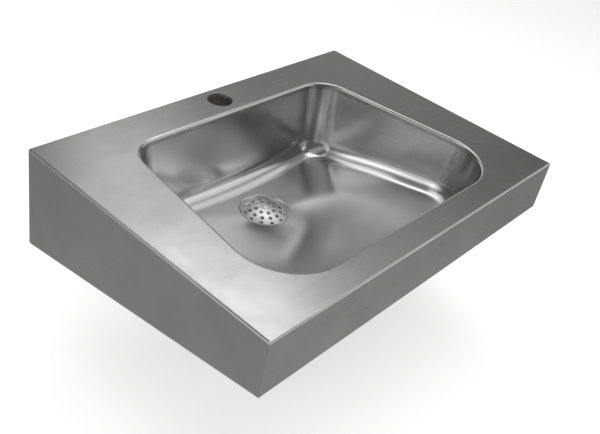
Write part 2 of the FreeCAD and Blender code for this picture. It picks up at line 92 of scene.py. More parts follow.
# %% [markdown]
# ## The camera
# The photograph looks down on the front left corner from close by, so near edges look much
# longer than far ones. Such a view could be matched by eye. Here its lens, place and turn
# were worked out from the corners of the sink's box, because that fits every edge at once.
# The camera is rolled a little, and a small shift puts its axis where the photograph's is.

# %% What is known of the camera
picture_width = 600
picture_height = 434
focal_pixels = 821.449
axis_pixel = Vector((273.674, 191.604))
camera_azimuth = math.radians(-52.589)
camera_elevation = math.radians(33.745)
camera_roll = math.radians(10.938)
camera_place = Vector((-0.78027, -0.75589, 0.64293))
print("camera to the frame's origin", round(camera_place.length, 3), "m")


# %% How the camera is turned
def camera_turn(azimuth, elevation, roll):
    """Rotation of a camera that looks back along its own direction, level before its roll."""
    back = Vector((math.sin(azimuth) * math.cos(elevation),
                   -math.cos(azimuth) * math.cos(elevation), math.sin(elevation)))
    right = Vector((0, 0, 1)).cross(back).normalized()
    up = back.cross(right)
    rolled_right = right * math.cos(roll) + up * math.sin(roll)
    rolled_up = up * math.cos(roll) - right * math.sin(roll)
    return Matrix((rolled_right, rolled_up, back)).transposed()


turn = camera_turn(camera_azimuth, camera_elevation, camera_roll)
print("camera looks along", [round(-part, 3) for part in turn.col[2]])

# %% The camera
camera_data = bpy.data.cameras.new("camera")
camera_data.sensor_width = 36.0
camera_data.lens = focal_pixels / picture_width * camera_data.sensor_width
camera_data.shift_x = (picture_width / 2 - axis_pixel.x) / picture_width
camera_data.shift_y = (axis_pixel.y - picture_height / 2) / picture_width
camera = bpy.data.objects.new("camera", camera_data)
camera.matrix_world = Matrix.Translation(camera_place) @ turn.to_4x4()
bpy.context.scene.collection.objects.link(camera)
bpy.context.scene.camera = camera
print("lens", round(camera_data.lens, 2),
      "shift", round(camera_data.shift_x, 4), round(camera_data.shift_y, 4))

# %% [markdown]
# ## Sheet metal from one surface
# Folded and drawn sheet has the same thickness everywhere. It could be modelled as a solid
# with two sides, but then the sides have to be kept apart by hand. So each sheet piece is
# one outer surface, a grid of points in rows, and a Solidify modifier gives it thickness.
# The result is turned into a plain mesh, so that its edges can then be marked sharp by
# angle and its normals weighted by face area, which keeps flat faces flat.


# %% Rows of points into faces
def grid_faces(rows, columns, closed):
    """Quads between neighbouring rows of points; closed joins the last column to the first."""
    faces = []
    for row in range(rows - 1):
        for column in range(columns if closed else columns - 1):
            following = (column + 1) % columns
            low, high = row * columns, (row + 1) * columns
            faces.append((low + column, low + following, high + following, high + column))
    return faces


def add_rows(bm, rows, closed=True):
    """Adds rows of points and the quads between them to a mesh under construction."""
    verts = [bm.verts.new(point) for row in rows for point in row]
    for face in grid_faces(len(rows), len(rows[0]), closed):
        bm.faces.new([verts[i] for i in face])


print("quads in a ring of 3 rows of 8 points", len(grid_faces(3, 8, True)))

# %% A mesh into a piece
same_place = 1e-6


def face_upwards(bm, upper_faces):
    """Turns all faces to one side, so that these ones look up."""
    bmesh.ops.recalc_face_normals(bm, faces=bm.faces)
    if sum(face.normal.z for face in upper_faces) < 0:
        bmesh.ops.reverse_faces(bm, faces=bm.faces)


def new_piece(name, bm):
    """Object made from a finished bmesh, with points in the same place merged."""
    bmesh.ops.remove_doubles(bm, verts=bm.verts, dist=same_place)
    mesh = bpy.data.meshes.new(name)
    bm.to_mesh(mesh)
    bm.free()
    piece = bpy.data.objects.new(name, mesh)
    bpy.context.scene.collection.objects.link(piece)
    return piece


print("points nearer than", same_place, "m are merged")

# %% Thickness and smooth shading
sharp_angle = math.radians(32)


def thicken(piece, thickness):
    """Gives a surface its sheet thickness, behind its faces. The new side is the second slot."""
    piece.data.materials.append(None)
    piece.data.materials.append(None)
    solid = piece.modifiers.new("sheet", "SOLIDIFY")
    solid.thickness = thickness
    solid.offset = -1
    solid.use_even_offset = True
    solid.material_offset = 1


def settle(piece):
    """Applies the modifiers, shades smooth up to an angle and weights the normals by area."""
    graph = bpy.context.evaluated_depsgraph_get()
    mesh = bpy.data.meshes.new_from_object(piece.evaluated_get(graph))
    piece.modifiers.clear()
    piece.data = mesh
    mesh.shade_smooth()
    mesh.set_sharp_from_angle(angle=sharp_angle)
    weighted = piece.modifiers.new("weighted normals", "WEIGHTED_NORMAL")
    weighted.keep_sharp = True
    print(piece.name, "faces", len(mesh.polygons))


print("edges sharper than", round(math.degrees(sharp_angle)), "degrees stay crisp")

# %% [markdown]
# ## The bowl's outline
# Seen from above the bowl is a trapezoid with rounded corners, wider at the front. It could
# be cut out of a subdivided cage, but then its corners aren't true arcs. Every row of the
# bowl is the same outline moved in, so one function makes them all with the same number of
# points. Rows then line up, and the surface between them stays even.

# %% Sizes of the outline
rear_margin = 60.0 * mm
front_margin = 36.0 * mm
rear_side_margin = 104.0 * mm
front_side_margin = 60.0 * mm
rear_corner = 50.0 * mm
front_corner = 80.0 * mm
corner_steps = 20
side_steps = 18
bowl_length = -front_y - front_margin - rear_margin
splay = math.atan((rear_side_margin - front_side_margin) / bowl_length)
print("bowl length", round(bowl_length, 4), "sides splay", round(math.degrees(splay), 2), "degrees")


# %% A polygon with arcs for corners
def rounded_outline(corners, radii):
    """Evenly spread points round a polygon whose corners are arcs."""
    arcs = []
    for i, corner in enumerate(corners):
        back = (corners[i - 1] - corner).normalized()
        ahead = (corners[(i + 1) % len(corners)] - corner).normalized()
        half_angle = back.angle(ahead) / 2
        centre = corner + (back + ahead).normalized() * (radii[i] / math.sin(half_angle))
        first = corner + back * (radii[i] / math.tan(half_angle)) - centre
        bend = math.pi - 2 * half_angle
        side = 1 if ahead.x * back.y - ahead.y * back.x > 0 else -1
        arcs.append([centre + Matrix.Rotation(side * bend * k / corner_steps, 2) @ first
                     for k in range(corner_steps + 1)])
    points = []
    for i, arc in enumerate(arcs):
        points += arc
        following = arcs[(i + 1) % len(arcs)][0]
        points += [arc[-1].lerp(following, k / side_steps) for k in range(1, side_steps)]
    return points


print("points in an outline", 4 * (corner_steps + side_steps))


# %% The outline moved in from the rim
def bowl_plan(rear, side_rear, side_front, front, rear_radius, front_radius):
    """The bowl's outline with each wall moved in from the rim by its own inset."""
    rear_y = -(rear_margin + rear)
    inner_front_y = front_y + front_margin + front

    def half(y, inset):
        middle_to_rim = half_width - rear_side_margin - (y + rear_margin) * math.tan(splay)
        return middle_to_rim - inset / math.cos(splay)

    rear_x = half(rear_y, side_rear)
    front_x = half(inner_front_y, side_front)
    corners = [Vector((rear_x, rear_y)), Vector((-rear_x, rear_y)),
               Vector((-front_x, inner_front_y)), Vector((front_x, inner_front_y))]
    return rounded_outline(corners, [rear_radius, rear_radius, front_radius, front_radius])


def level_row(inset, height, corner_change):
    """One row of the bowl at a single height."""
    plan = bowl_plan(inset, inset, inset, inset,
                     rear_corner - corner_change, front_corner - corner_change)
    return [Vector((point.x, point.y, height)) for point in plan]


rim_row = level_row(0, deck_top, 0)
print("mouth of the bowl, wide and long",
      [round(max(p[i] for p in rim_row) - min(p[i] for p in rim_row), 4) for i in (0, 1)])

# %% [markdown]
# ## The rim and the walls
# The deck's edge is rolled down round a small radius and runs on as a short collar, where
# the drawn bowl takes over. One mesh could be both, but they are two sheets with their own
# finishes. So both start from the same rows, and the joint is a fine line inside the
# mouth. The walls lean in by their draft, the slope that lets the bowl off its punch.

# %% Rows down the rolled rim
rim_radius = 5.0 * mm
collar_depth = 9.0 * mm
wall_draft = math.radians(6.5)
roll_inset = rim_radius * math.tan((math.pi / 2 - wall_draft) / 2)
roll_steps = 10


def rim_rows():
    """From the flat deck, over the rolled edge, to the top of the sloping wall."""
    rows = []
    for step in range(roll_steps + 1):
        bend = (math.pi / 2 - wall_draft) * step / roll_steps
        inset = rim_radius * math.sin(bend)
        height = deck_top - rim_radius + rim_radius * math.cos(bend)
        rows.append(level_row(inset, height, inset))
    return rows


def wall_row(depth):
    """Level row on the sloping wall."""
    return level_row(roll_inset + depth * math.tan(wall_draft), deck_top - depth, roll_inset)


print("rim rows", len(rim_rows()), "walls start", round(roll_inset / mm, 2), "mm inside the rim")

# %% [markdown]
# ## The floor of the bowl
# The floor falls to the waste along straight lines, steeply from the front and gently from
# the rear corners, which are low. A large fillet joins it to the walls. A Bevel modifier
# could round that corner, but not evenly, because the floor climbs along it. The fillet is
# worked out instead as what a ball would touch that rolls along the corner, so it is round
# everywhere, and each row is lifted point by point as the ball climbs to the front.

# %% Slopes of the floor
floor_fall = math.radians(10.0)
corner_fall = math.radians(3.5)
fall_turn = math.radians(25.0)
recess_gap = 0.6 * mm
recess_rim = waste_rim_radius + recess_gap


def from_waste(x, y):
    """Distance in plan from the waste's axis."""
    return math.hypot(x, y - waste_y)


def fall_at(x, y):
    """Slope of the floor at (x, y): full towards the front, small towards the rear corners."""
    behind = math.atan2(y - waste_y, abs(x))
    share = min(1.0, max(0.0, (fall_turn - behind) / (2 * fall_turn)))
    return corner_fall + (floor_fall - corner_fall) * share * share * (3 - 2 * share)


def floor_height(distance, fall=floor_fall):
    """Height of the floor at a distance from the waste's axis, along a line of one slope."""
    return waste_rim_z + (distance - recess_rim) * math.tan(fall)


print("slope to the front and to the rear",
      [round(math.degrees(fall_at(0, waste_y + ahead)), 2) for ahead in (-0.1, 0.1)])

# %% Where the ball rolls
floor_fillet = 30.0 * mm


def ball_inset(x, y):
    """How far inside the rim the rolling ball runs where its path passes (x, y)."""
    fall = fall_at(x, y)
    ball_z = floor_height(from_waste(x, y), fall) + floor_fillet / math.cos(fall)
    wall_inset = roll_inset + (deck_top - ball_z) * math.tan(wall_draft)
    return wall_inset + floor_fillet / math.cos(wall_draft)


def ball_path():
    """Insets of the ball's path: rear, side near the rear, side near the front, front."""
    middling = roll_inset + (deck_top - waste_rim_z) * math.tan(wall_draft) / 2 + floor_fillet
    rear_y = -rear_margin - middling
    inner_front_y = front_y + front_margin + middling
    rear_x = half_width - rear_side_margin - middling
    front_x = half_width - front_side_margin - middling
    places = [(0, rear_y), (rear_x, rear_y), (front_x, inner_front_y), (0, inner_front_y)]
    return [ball_inset(x, y) for x, y in places]


print("ball's insets in mm", [round(inset / mm, 1) for inset in ball_path()])

# %% Rows of the fillet
fillet_steps = 14


def fillet_rows():
    """From the foot of the wall round to the floor."""
    path = ball_path()
    rear_radius = rear_corner - roll_inset - floor_fillet
    front_radius = front_corner - roll_inset - floor_fillet
    rows = []
    for step in range(fillet_steps + 1):
        bend = wall_draft + (math.pi / 2 - floor_fall - wall_draft) * step / fillet_steps
        out = floor_fillet * math.cos(bend)
        plan = bowl_plan(*[inset - out for inset in path], rear_radius + out, front_radius + out)
        row = []
        for point in plan:
            fall = fall_at(point.x, point.y)
            ground = floor_height(from_waste(point.x, point.y) - out, fall)
            lift = floor_fillet / math.cos(fall) - floor_fillet * math.sin(bend)
            row.append(Vector((point.x, point.y, ground + lift)))
        rows.append(row)
    return rows


heights = [point.z for point in fillet_rows()[-1]]
print("foot of the fillet is", round((max(heights) - min(heights)) / mm, 1), "mm out of level")

# %% Rows of the floor
recess_slope = math.radians(50.0)
recess_roll = 2.5 * mm
floor_steps = 12


def on_ray(point, distance, height):
    """Place at a distance from the waste's axis, in the direction of another point."""
    away = Vector((point.x, point.y - waste_y)).normalized() * distance
    return Vector((away.x, waste_y + away.y, height))


def floor_rows(outer_row):
    """Down the cone, along straight lines towards the waste's axis."""
    roll_start = recess_rim + recess_roll * (math.sin(recess_slope) - math.sin(floor_fall))
    rows = []
    for step in range(1, floor_steps + 1):
        row = []
        for point in outer_row:
            reach = Vector((point.x, point.y - waste_y)).length
            distance = reach + (roll_start - reach) * step / floor_steps
            height = floor_height(distance, fall_at(point.x, point.y))
            row.append(on_ray(point, distance, height))
        rows.append(row)
    return rows


print("rows down the floor", len(floor_rows(fillet_rows()[-1])))

# %% [markdown]
# ## The seat of the waste
# The waste's dish is let into the floor, so that water runs over its edge and not against
# it. The press forms a round step for it, with a flat seat below. It could be cut in with
# a Boolean, but as an outline turned about the waste's axis, with as many points as the
# floor's rows, it joins the floor without a seam.

# %% Rows of the seat
recess_depth = 7.5 * mm
waste_hole_radius = 24.6 * mm
recess_roll_steps = 4


def recess_profile():
    """Radius and height of each row, from the floor's edge to the hole for the waste."""
    roll_centre_r = recess_rim + recess_roll * math.sin(recess_slope)
    roll_centre_z = floor_height(roll_centre_r) - recess_roll / math.cos(floor_fall)
    profile = []
    for step in range(1, recess_roll_steps + 1):
        slope = floor_fall + (recess_slope - floor_fall) * step / recess_roll_steps
        profile.append((roll_centre_r - recess_roll * math.sin(slope),
                        roll_centre_z + recess_roll * math.cos(slope)))
    wall_r, wall_z = profile[-1]
    seat_z = waste_rim_z - recess_depth
    seat_r = wall_r - (wall_z - seat_z) / math.tan(recess_slope)
    return profile + [(seat_r, seat_z), (waste_hole_radius, seat_z)]


def recess_rows(outer_row):
    """Into the seat of the waste, and across it to the hole."""
    return [[on_ray(point, radius, height) for point in outer_row]
            for radius, height in recess_profile()]


print("radius of the flat seat", round(recess_profile()[-2][0] / mm, 1), "mm")

# %% The bowl
bowl_sheet = 1.2 * mm
wall_steps = 4


def make_bowl():
    """Collar, walls, fillet, floor and seat as one skin of drawn sheet."""
    collar = wall_row(collar_depth)
    fillet = fillet_rows()
    wall = [[a.lerp(b, step / wall_steps) for a, b in zip(collar, fillet[0])]
            for step in range(wall_steps)]
    cone = floor_rows(fillet[-1])
    bm = bmesh.new()
    add_rows(bm, wall + fillet + cone + recess_rows(cone[-1]))
    face_upwards(bm, bm.faces)
    piece = new_piece("bowl_drawn", bm)
    thicken(piece, bowl_sheet)
    settle(piece)
    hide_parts("bowl")
    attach(piece, "sink")
    return piece


bowl = make_bowl()

# %% [markdown]
# ## Sound pads
# Pads of heavy rubber are glued under the floor, so that falling water doesn't drum on the
# sheet. The CAD's pad at the front fits, but the two beside the waste have to bend with
# the floor's changing slope. A shrinkwrap could press them on. Here each is a grid laid
# just below the floor's own height and thickened downwards, which can't miss it.

# %% The side pads
pad_sheet = 2.5 * mm
glue_line = 0.1 * mm
pad_columns = 11
pad_rows = 21


def make_pad(node):
    """Pad on the box of its node, bent to the underside of the floor."""
    low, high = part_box(node)
    rows = []
    for step in range(pad_rows):
        y = low.y + (high.y - low.y) * step / (pad_rows - 1)
        row = []
        for place in range(pad_columns):
            x = low.x + (high.x - low.x) * place / (pad_columns - 1)
            top = floor_height(from_waste(x, y), fall_at(x, y))
            under = top - bowl_sheet / math.cos(floor_fall)
            row.append(Vector((x, y, under - glue_line)))
        rows.append(row)
    bm = bmesh.new()
    add_rows(bm, rows, closed=False)
    piece = new_piece(node + "_glued", bm)
    thicken(piece, pad_sheet)
    settle(piece)
    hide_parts(node)
    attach(piece, "sink")
    return piece


side_pads = [make_pad("sound_pad_left"), make_pad("sound_pad_right")]

# %% [markdown]
# ## Folds of the deck
# The deck is one folded sheet: the wall flange, the top, the apron and its small return.
# Each fold could be a bevelled edge, but a press brake leaves a clear outer radius, and
# the highlight along it is what the eye reads as sheet metal. So a fold is drawn as a
# profile, points along an arc, and carried straight across the width.

# %% Profiles of the folds
fold_radius = 3.0 * mm
apron_return = 15.0 * mm
flange_height = 40.0 * mm
front_fold_steps = 8
rear_fold_steps = 9


def quarter_turn(steps):
    """Angles from 0 to a right angle."""
    return [math.pi / 2 * step / steps for step in range(steps + 1)]


def fold_profile():
    """Points (y, z) from the deck's front edge over the fold, down the apron and under it."""
    r = fold_radius
    over = [(front_y + r - r * math.sin(bend), deck_top - r + r * math.cos(bend))
            for bend in quarter_turn(front_fold_steps)]
    under = [(front_y + r - r * math.cos(bend), deck_low.z + r - r * math.sin(bend))
             for bend in quarter_turn(front_fold_steps)]
    return over + under + [(front_y + apron_return, deck_low.z)]


def rear_profile():
    """Points (y, z) from the deck's rear edge over the fold and down the wall flange."""
    r = fold_radius
    over = [(-r + r * math.sin(bend), deck_top - r + r * math.cos(bend))
            for bend in quarter_turn(rear_fold_steps)]
    return over + [(0, deck_top - flange_height)]


print("points over the folds, front and rear", len(fold_profile()), len(rear_profile()))

# %% [markdown]
# ## Seams and the tap hole
# The side panels are welded on and ground flush, and a hair line stays where they meet the
# deck. The tap hole is punched, and its edge is pressed over a little so that it isn't
# sharp. A bump could fake both, but close up a real edge catches the light, so the seam is
# a small chamfer and the hole has a rounded lip.

# %% The seams at the sides
side_seam = 3.0 * mm
seam_groove = 0.5 * mm
seam_x = half_width - side_seam
groove_x = seam_x - seam_groove
deck_front = front_y + fold_radius
deck_rear = -fold_radius


def seam_strips(bm):
    """Small chamfers where the flat top meets the side panels, closed at both ends."""
    for side in (-1, 1):
        for y in (deck_front, deck_rear):
            bm.faces.new([bm.verts.new(point) for point in (
                (side * groove_x, y, deck_top), (side * seam_x, y, deck_top),
                (side * seam_x, y, deck_top - seam_groove))])
        bm.faces.new([bm.verts.new(point) for point in (
            (side * groove_x, deck_front, deck_top), (side * groove_x, deck_rear, deck_top),
            (side * seam_x, deck_rear, deck_top - seam_groove),
            (side * seam_x, deck_front, deck_top - seam_groove))])


print("seams at x", round(-seam_x, 4), "and", round(seam_x, 4))

# %% The tap hole
tap_hole_radius = 19.0 * mm
tap_hole_y = -30.0 * mm
hole_lip = 0.4 * mm
lip_steps = 4
hole_points = 96


def hole_rows():
    """The punched edge of the tap hole, with its rounded lip."""
    rows = []
    for bend in quarter_turn(lip_steps):
        radius = tap_hole_radius + hole_lip * (1 - math.sin(bend))
        height = deck_top - hole_lip * (1 - math.cos(bend))
        rows.append([Vector((radius * math.cos(2 * math.pi * k / hole_points),
                             tap_hole_y + radius * math.sin(2 * math.pi * k / hole_points),
                             height)) for k in range(hole_points)])
    return rows


print("tap hole", round(2 * tap_hole_radius / mm, 1), "mm across")

# %% [markdown]
# ## The deck
# The flat top has two openings. Quads round both would have to bend somewhere, and a bent
# quad shows as a dent in a mirror. So the top is filled as triangles between its outlines,
# all at one height, which stays perfectly flat. The folds, the rolled rim and the hole's
# lip are grids that share the points of its edges, and merging the points joins them.


# %% The flat top
def fill_top(bm, loops):
    """Triangles between the outer edge of the top and the outlines of its openings."""
    edges = []
    for loop in loops:
        verts = [bm.verts.new(point) for point in loop]
        edges += [bm.edges.new((verts[i - 1], verts[i])) for i in range(len(verts))]
    bmesh.ops.triangle_fill(bm, use_beauty=True, edges=edges)
    bmesh.ops.remove_doubles(bm, verts=bm.verts, dist=same_place)


def across(xs, profile):
    """A profile of (y, z) carried across the width, one point for each x."""
    return [[Vector((x, y, z)) for x in xs] for y, z in profile]


print("flat top from y", round(deck_front, 4), "to", round(deck_rear, 4))

# %% The deck
deck_sheet = 1.5 * mm
apron_inset = 1.5 * mm
flange_inset = 33.0 * mm
apron_x = half_width - apron_inset
flange_x = half_width - flange_inset
full_width_rows = 7


def make_deck():
    """Rim, hole, seams, folds and flat top as one skin of folded sheet."""
    bm = bmesh.new()
    rim = rim_rows() + [wall_row(collar_depth)]
    add_rows(bm, rim)
    tap = hole_rows()
    add_rows(bm, tap)
    seam_strips(bm)
    front_columns = [-apron_x, -seam_x, -groove_x, groove_x, seam_x, apron_x]
    add_rows(bm, across(front_columns, fold_profile()), closed=False)
    rear_columns = [-seam_x, -groove_x, -flange_x, flange_x, groove_x, seam_x]
    rear = across(rear_columns, rear_profile())
    add_rows(bm, rear[:full_width_rows], closed=False)
    add_rows(bm, [row[2:4] for row in rear[full_width_rows - 1:]], closed=False)
    outer = [Vector((x, y, deck_top)) for x, y in (
        (-groove_x, deck_front), (groove_x, deck_front), (groove_x, deck_rear),
        (flange_x, deck_rear), (-flange_x, deck_rear), (-groove_x, deck_rear))]
    fill_top(bm, (outer, rim[0], tap[0]))
    face_upwards(bm, [face for face in bm.faces
                      if face.calc_center_median().z > deck_top - same_place])
    piece = new_piece("deck_folded", bm)
    thicken(piece, deck_sheet)
    settle(piece)
    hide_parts("deck_panel")
    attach(piece, "sink")
    return piece


deck = make_deck()

# %% [markdown]
# ## Finishes
# Stainless steel is a mirror that has been worked on. Three effects turn a plain mirror
# into this sheet: the fine grain of the brushing, soft smears from handling, and slow
# waves from rolling and pressing. More than one finish uses each, so each is a node group
# that gives one value, and every material feeds it its own numbers. All are made from
# noise in the object's own space, so they stay on the metal in every view.


# %% Helpers for nodes
def add_node(tree, kind, **settings):
    """Adds a node and sets its named properties, and its inputs by name or by place."""
    node = tree.nodes.new(kind)
    for key, value in settings.items():
        if key == "inputs":
            for name, amount in value.items():
                node.inputs[name].default_value = amount
        else:
            setattr(node, key, value)
    return node


def group_tree(name, inputs, outputs):
    """Empty node group with named float or vector inputs and float outputs."""
    tree = bpy.data.node_groups.new(name, "ShaderNodeTree")
    for socket, value in inputs.items():
        kind = "NodeSocketVector" if isinstance(value, tuple) else "NodeSocketFloat"
        made = tree.interface.new_socket(socket, in_out="INPUT", socket_type=kind)
        made.default_value = value
    for socket in outputs:
        tree.interface.new_socket(socket, in_out="OUTPUT", socket_type="NodeSocketFloat")
    return tree, tree.nodes.new("NodeGroupInput"), tree.nodes.new("NodeGroupOutput")


print("node groups so far", len(bpy.data.node_groups))

# %% [markdown]
# ## Brushed grain
# Brushing leaves fine parallel scratches of uneven length. An anisotropic shader spreads
# the reflection the same way but draws no lines. Noise that is stretched along the brushing
# draws them, and noise stretched evenly gives the texture of polished metal or rubber.


# %% The grain's node group
def grain_group():
    """Fine lines: noise stretched by its Stretch vector, coarse and fine laid together."""
    tree, inside, outside = group_tree("brushed grain", {"Stretch": (1.0, 1.0, 1.0)}, ["Grain"])
    link = tree.links.new
    place = add_node(tree, "ShaderNodeTexCoord")
    scaled = add_node(tree, "ShaderNodeVectorMath", operation="MULTIPLY")
    link(place.outputs["Object"], scaled.inputs[0])
    link(inside.outputs["Stretch"], scaled.inputs[1])
    fine = add_node(tree, "ShaderNodeTexNoise",
                    inputs={"Scale": 1.0, "Detail": 1.0, "Roughness": 0.5})
    coarse = add_node(tree, "ShaderNodeTexNoise",
                      inputs={"Scale": 0.22, "Detail": 2.0, "Roughness": 0.5})
    link(scaled.outputs[0], fine.inputs["Vector"])
    link(scaled.outputs[0], coarse.inputs["Vector"])
    both = add_node(tree, "ShaderNodeMix", data_type="FLOAT", inputs={"Factor": 0.35})
    link(fine.outputs["Fac"], both.inputs["A"])
    link(coarse.outputs["Fac"], both.inputs["B"])
    link(both.outputs["Result"], outside.inputs["Grain"])
    return tree


brushed_grain = grain_group()
print(brushed_grain.name, "nodes", len(brushed_grain.nodes))

# %% [markdown]
# ## Handling smears
# Hands and cloths leave large soft patches, a little duller and darker than the rest. They
# could be painted on, but the photograph shows no single mark worth copying, only their
# kind. So they are a warped noise, cut off below so that clean metal stays between them.


# %% The smears' node group
def noise_group(name, output, noise, band):
    """Group that gives one noise of its Size, with a band of it spread over 0 to 1."""
    tree, inside, outside = group_tree(name, {"Size": 6.0}, [output])
    link = tree.links.new
    place = add_node(tree, "ShaderNodeTexCoord")
    patches = add_node(tree, "ShaderNodeTexNoise", inputs=noise)
    link(place.outputs["Object"], patches.inputs["Vector"])
    link(inside.outputs["Size"], patches.inputs["Scale"])
    value = patches.outputs["Fac"]
    if band:
        spread = add_node(tree, "ShaderNodeMapRange",
                          inputs={"From Min": band[0], "From Max": band[1]})
        link(value, spread.inputs["Value"])
        value = spread.outputs["Result"]
    link(value, outside.inputs[output])
    return tree


smear_noise = {"Detail": 4.0, "Roughness": 0.55, "Distortion": 0.6}
handling_smears = noise_group("handling smears", "Smear", smear_noise, (0.35, 0.7))
print(handling_smears.name, "nodes", len(handling_smears.nodes))

# %% [markdown]
# ## Waves in the sheet
# No pressed sheet is quite flat. Its waves are about a millimetre high and a hand wide, so
# they don't change its outline, but they bend every reflection. Moving the mesh would need
# many more faces for that, so a smooth noise is fed to a bump as a real height in metres.

# %% The waves' node group
wave_noise = {"Detail": 1.0, "Roughness": 0.4, "Distortion": 0.4}
sheet_waves = noise_group("sheet waves", "Height", wave_noise, None)
print(sheet_waves.name, "nodes", len(sheet_waves.nodes))

# %% [markdown]
# ## From effects to a finish
# Tone, roughness and relief all follow the same grain, because on real metal they are one
# scratch: it is a little darker, a little rougher and a little deeper. Three small helpers
# build the three, and one function puts them on a Principled shader. Metallic stays a
# plain number on the shader, since it is the same all over a piece.

# %% Tone, roughness and relief
smear_tone = 0.8
grain_depth = 0.5 * mm


def add_tone(tree, color, grain, smears, grain_tone, cloud):
    """Base colour, lighter and darker along the grain and clouded by the smears."""
    dark = [c * (1 - grain_tone) for c in color] + [1.0]
    light = [min(1.0, c * (1 + grain_tone)) for c in color] + [1.0]
    tone = add_node(tree, "ShaderNodeMix", data_type="RGBA", inputs={"A": dark, "B": light})
    tree.links.new(grain, tone.inputs["Factor"])
    patch = add_node(tree, "ShaderNodeMath", operation="MULTIPLY", inputs={1: cloud})
    tree.links.new(smears, patch.inputs[0])
    clouded = add_node(tree, "ShaderNodeMix", data_type="RGBA", blend_type="MULTIPLY",
                       inputs={"B": [smear_tone, smear_tone, smear_tone, 1.0]})
    tree.links.new(patch.outputs["Value"], clouded.inputs["Factor"])
    tree.links.new(tone.outputs["Result"], clouded.inputs["A"])
    return clouded.outputs["Result"]


def add_roughness(tree, roughness, grain, smears, grain_rough, smear):
    """Roughness that varies along the grain and rises under the smears."""
    rough = add_node(tree, "ShaderNodeMapRange", inputs={"To Min": roughness - grain_rough,
                                                         "To Max": roughness + grain_rough})
    tree.links.new(grain, rough.inputs["Value"])
    dulled = add_node(tree, "ShaderNodeMath", operation="MULTIPLY_ADD", use_clamp=True,
                      inputs={1: smear})
    tree.links.new(smears, dulled.inputs[0])
    tree.links.new(rough.outputs["Result"], dulled.inputs[2])
    return dulled.outputs["Value"]


def add_relief(tree, grain, bump, wave, wave_size):
    """Normal of the fine grain, laid over the slow waves where the sheet has them."""
    relief = add_node(tree, "ShaderNodeBump", inputs={"Strength": bump, "Distance": grain_depth})
    tree.links.new(grain, relief.inputs["Height"])
    if wave > 0:
        waves = add_node(tree, "ShaderNodeGroup", node_tree=sheet_waves,
                         inputs={"Size": wave_size})
        swell = add_node(tree, "ShaderNodeBump", inputs={"Strength": 1.0, "Distance": wave})
        tree.links.new(waves.outputs["Height"], swell.inputs["Height"])
        tree.links.new(swell.outputs["Normal"], relief.inputs["Normal"])
    return relief.outputs["Normal"]


print("smears darken to", smear_tone, "of the tone; grain is", grain_depth / mm, "mm deep")


# %% A finish
def make_finish(name, color, roughness, stretch, grain_tone=0.1, grain_rough=0.06, bump=0.02,
                smear=0.05, smear_size=6.0, cloud=0.0, wave=0.0, wave_size=6.0, metallic=1.0):
    """Material whose tone, roughness and relief follow the grain, the smears and the waves."""
    material = bpy.data.materials.new(name)
    material.use_nodes = True
    tree = material.node_tree
    shader = tree.nodes["Principled BSDF"]
    shader.inputs["Metallic"].default_value = metallic
    grain = add_node(tree, "ShaderNodeGroup", node_tree=brushed_grain,
                     inputs={"Stretch": stretch}).outputs["Grain"]
    smears = add_node(tree, "ShaderNodeGroup", node_tree=handling_smears,
                      inputs={"Size": smear_size}).outputs["Smear"]
    tone = add_tone(tree, color, grain, smears, grain_tone, cloud)
    rough = add_roughness(tree, roughness, grain, smears, grain_rough, smear)
    relief = add_relief(tree, grain, bump, wave, wave_size)
    for value, socket in ((tone, "Base Color"), (rough, "Roughness"), (relief, "Normal")):
        tree.links.new(value, shader.inputs[socket])
    return material


along_x = (9.0, 700.0, 700.0)
along_y = (700.0, 9.0, 700.0)
even = (420.0, 420.0, 420.0)
lumpy = (260.0, 260.0, 260.0)
print("a grain line is", round(along_x[1] / along_x[0]), "times as long as it is wide")

# %% [markdown]
# ## The visible steel
# The deck is brushed from side to side and the side panels from back to front, and both
# are clouded. The bowl is polished after drawing, so it is a lighter and clearer mirror
# with waves across it. The waste's dish, dome and screw are small turned and pressed
# parts with a bright, even satin.

# %% Brushed, polished and satin steel
deck_steel = make_finish("deck steel", (0.56, 0.56, 0.555), 0.22, along_x, grain_tone=0.05,
                         grain_rough=0.04, bump=0.02, smear=0.07, smear_size=15.0, cloud=0.6,
                         wave=1.2 * mm, wave_size=7.0)
side_steel = make_finish("side steel", (0.56, 0.56, 0.555), 0.28, along_y, grain_tone=0.05,
                         grain_rough=0.04, bump=0.02, smear=0.03, smear_size=8.0, cloud=0.5,
                         wave=0.6 * mm)
bowl_steel = make_finish("bowl steel", (0.69, 0.69, 0.68), 0.16, even, grain_tone=0.02,
                         grain_rough=0.01, bump=0.002, smear=0.06, smear_size=9.0,
                         wave=0.7 * mm, wave_size=10.0)
waste_steel = make_finish("waste steel", (0.84, 0.84, 0.83), 0.40, even, grain_tone=0.03,
                          grain_rough=0.02, bump=0.005, smear=0.04, smear_size=30.0)
print("visible finishes", [m.name for m in (deck_steel, side_steel, bowl_steel, waste_steel)])
